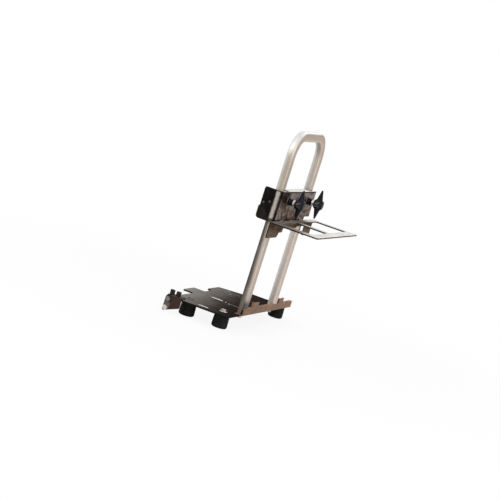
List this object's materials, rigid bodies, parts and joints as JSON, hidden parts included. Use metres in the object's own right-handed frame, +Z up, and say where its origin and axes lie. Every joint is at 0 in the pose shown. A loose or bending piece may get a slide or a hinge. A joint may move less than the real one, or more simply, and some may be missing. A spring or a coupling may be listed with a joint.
{
  "type": "chainsaw mill",
  "caption": "Chainsaw mill: slotted base plate on rubber feet, bent tube bow, and a sliding guide shelf held at a height by star knobs that draw jaws against the bow's legs.",
  "frame": {"origin": "middle of the mill's box, on the surface that it stands on", "axes": "+X towards the guide shelf, +Y from the near leg to the far leg, +Z up along the bow's legs"},
  "size_m": [0.2658, 0.4198, 0.418],
  "materials": {
    "base_steel": "dark, oiled sheet steel with handling marks",
    "bow_steel": "satin tube, brushed along its length",
    "rail_steel": "satin, warm grey",
    "foot_rubber": "matt black rubber",
    "zinc_steel": "zinc plated",
    "bracket_steel": "polished sheet that mirrors dark surroundings",
    "shelf_steel": "bright satin sheet",
    "pad_nylon": "off-white slide nylon",
    "knob_plastic": "moulded, semi gloss",
    "jaw_steel": "sawn and deburred bar"
  },
  "bodies": {
    "base": {"base_plate": "base_steel", "bow": "bow_steel", "base_rail": "rail_steel", "foot_near_east": "foot_rubber", "foot_near_west": "foot_rubber", "foot_far_east": "foot_rubber", "foot_far_west": "foot_rubber", "foot_washer_near_east": "zinc_steel", "foot_washer_near_west": "zinc_steel", "foot_washer_far_east": "zinc_steel", "foot_washer_far_west": "zinc_steel", "foot_bolt_near_east": "zinc_steel", "foot_bolt_near_west": "zinc_steel", "foot_bolt_far_east": "zinc_steel", "foot_bolt_far_west": "zinc_steel", "leg_plug_near": "zinc_steel", "leg_plug_far": "zinc_steel", "leg_screw_near": "zinc_steel", "leg_screw_far": "zinc_steel", "rail_screw_1": "zinc_steel", "rail_screw_2": "zinc_steel", "rail_screw_3": "zinc_steel", "end_lug": "rail_steel", "lug_bolt_1": "zinc_steel", "lug_bolt_2": "zinc_steel", "lug_nut_1": "zinc_steel", "lug_nut_2": "zinc_steel", "lug_face_bolt": "zinc_steel", "lug_spur_bolt": "zinc_steel"},
    "carriage": {"carriage_bracket": "bracket_steel", "guide_shelf": "shelf_steel", "side_pad": "pad_nylon", "pad_rivet_1": "zinc_steel", "pad_rivet_2": "zinc_steel", "web_pad_near": "pad_nylon", "web_pad_far": "pad_nylon", "ear_pad": "pad_nylon", "clamp_washer_near": "zinc_steel", "clamp_washer_far": "zinc_steel"},
    "knob_near": {"star_knob_near": "knob_plastic", "clamp_stud_near": "zinc_steel"},
    "knob_far": {"star_knob_far": "knob_plastic", "clamp_stud_far": "zinc_steel"},
    "jaw_near": {"clamp_jaw_near": "jaw_steel"},
    "jaw_far": {"clamp_jaw_far": "jaw_steel"}
  },
  "joints": [
    {"name": "carriage_height", "type": "slide", "parent": "base", "child": "carriage", "axis": [0, 0, 1], "range_m": [-0.14, 0.06]},
    {"name": "knob_near_turn", "type": "hinge", "parent": "carriage", "child": "knob_near", "pos_m": [0.05545, -0.0901, 0.276], "axis": [1, 0, 0], "range_deg": [0, 720]},
    {"name": "knob_far_turn", "type": "hinge", "parent": "carriage", "child": "knob_far", "pos_m": [0.05545, 0.0409, 0.276], "axis": [1, 0, 0], "range_deg": [0, 720]},
    {"name": "jaw_near_release", "type": "slide", "parent": "carriage", "child": "jaw_near", "axis": [-1, 0, 0], "range_m": [0, 0.0026]},
    {"name": "jaw_far_release", "type": "slide", "parent": "carriage", "child": "jaw_far", "axis": [-1, 0, 0], "range_m": [0, 0.0026]}
  ],
  "couplings": [
    {"joint": "jaw_near_release", "follows": "knob_near_turn", "m_per_rad": 0.0001989},
    {"joint": "jaw_far_release", "follows": "knob_far_turn", "m_per_rad": 0.0001989}
  ]
}
